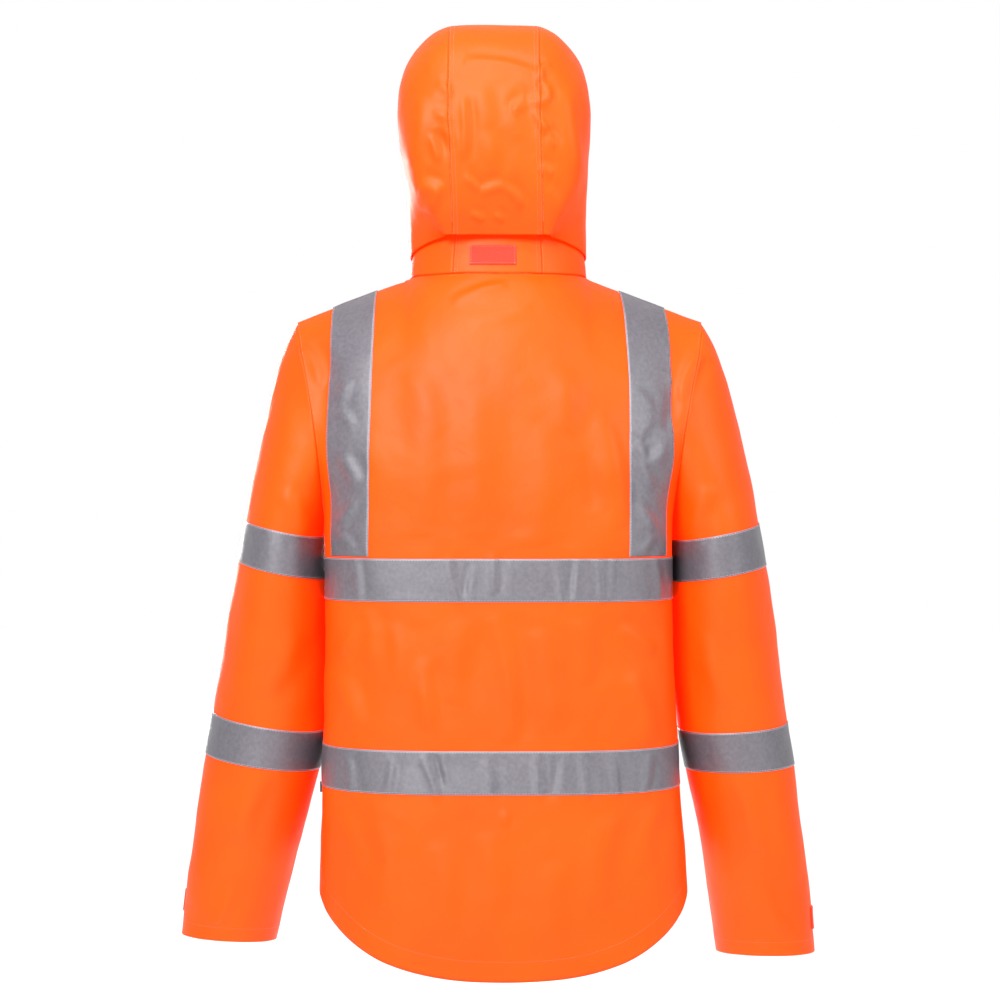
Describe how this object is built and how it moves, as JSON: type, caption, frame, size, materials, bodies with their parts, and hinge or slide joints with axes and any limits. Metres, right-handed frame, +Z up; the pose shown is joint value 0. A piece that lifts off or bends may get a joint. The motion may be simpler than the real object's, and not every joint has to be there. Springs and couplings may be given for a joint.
{
  "type": "hi-vis work jacket",
  "caption": "Hip-length hooded high-visibility work jacket in its hollow worn form, hood up and zip closed, with reflective bands and braces.",
  "frame": {"origin": "centre of the neck, level with the back of the neck seam, where the wearer holds the jacket up", "axes": "+Z up along the body, the front with the zip faces -Y, the wearer's left is +X"},
  "size_m": [0.739, 0.2634, 1.0665],
  "materials": {
    "shell_fabric": "coated polyester, fluorescent orange, soft sheen",
    "reflective_tape": "woven silver-grey reflective tape, satin",
    "hook_loop": "coral hook and loop tape, matte",
    "label_tape": "plain near-black woven tape",
    "zip_chain": "moulded orange plastic teeth",
    "zip_metal": "dark grey enamelled zinc"
  },
  "bodies": {
    "jacket": {"back": "shell_fabric", "front_left": "shell_fabric", "front_right": "shell_fabric", "sleeve_left": "shell_fabric", "sleeve_right": "shell_fabric", "collar_centre": "shell_fabric", "collar_left": "shell_fabric", "collar_right": "shell_fabric", "hood_centre": "shell_fabric", "hood_side_left": "shell_fabric", "hood_side_right": "shell_fabric", "loop_patch": "hook_loop", "cuff_tab_left": "hook_loop", "cuff_tab_right": "hook_loop", "side_label": "label_tape", "tape_back_upper": "reflective_tape", "tape_back_lower": "reflective_tape", "tape_front_upper_left": "reflective_tape", "tape_front_upper_right": "reflective_tape", "tape_front_lower_left": "reflective_tape", "tape_front_lower_right": "reflective_tape", "tape_brace_back_left": "reflective_tape", "tape_brace_back_right": "reflective_tape", "tape_brace_front_left": "reflective_tape", "tape_brace_front_right": "reflective_tape", "tape_sleeve_left_upper": "reflective_tape", "tape_sleeve_left_lower": "reflective_tape", "tape_sleeve_right_upper": "reflective_tape", "tape_sleeve_right_lower": "reflective_tape", "zip": "zip_chain", "zip_slider": "zip_metal"},
    "pull": {"zip_pull": "zip_metal"}
  },
  "joints": [
    {"name": "pull_hinge", "type": "hinge", "parent": "jacket", "child": "pull", "pos_m": [-0.00227, -0.09553, -0.00844], "axis": [-1, 0, 0], "range_deg": [0, 165]}
  ]
}
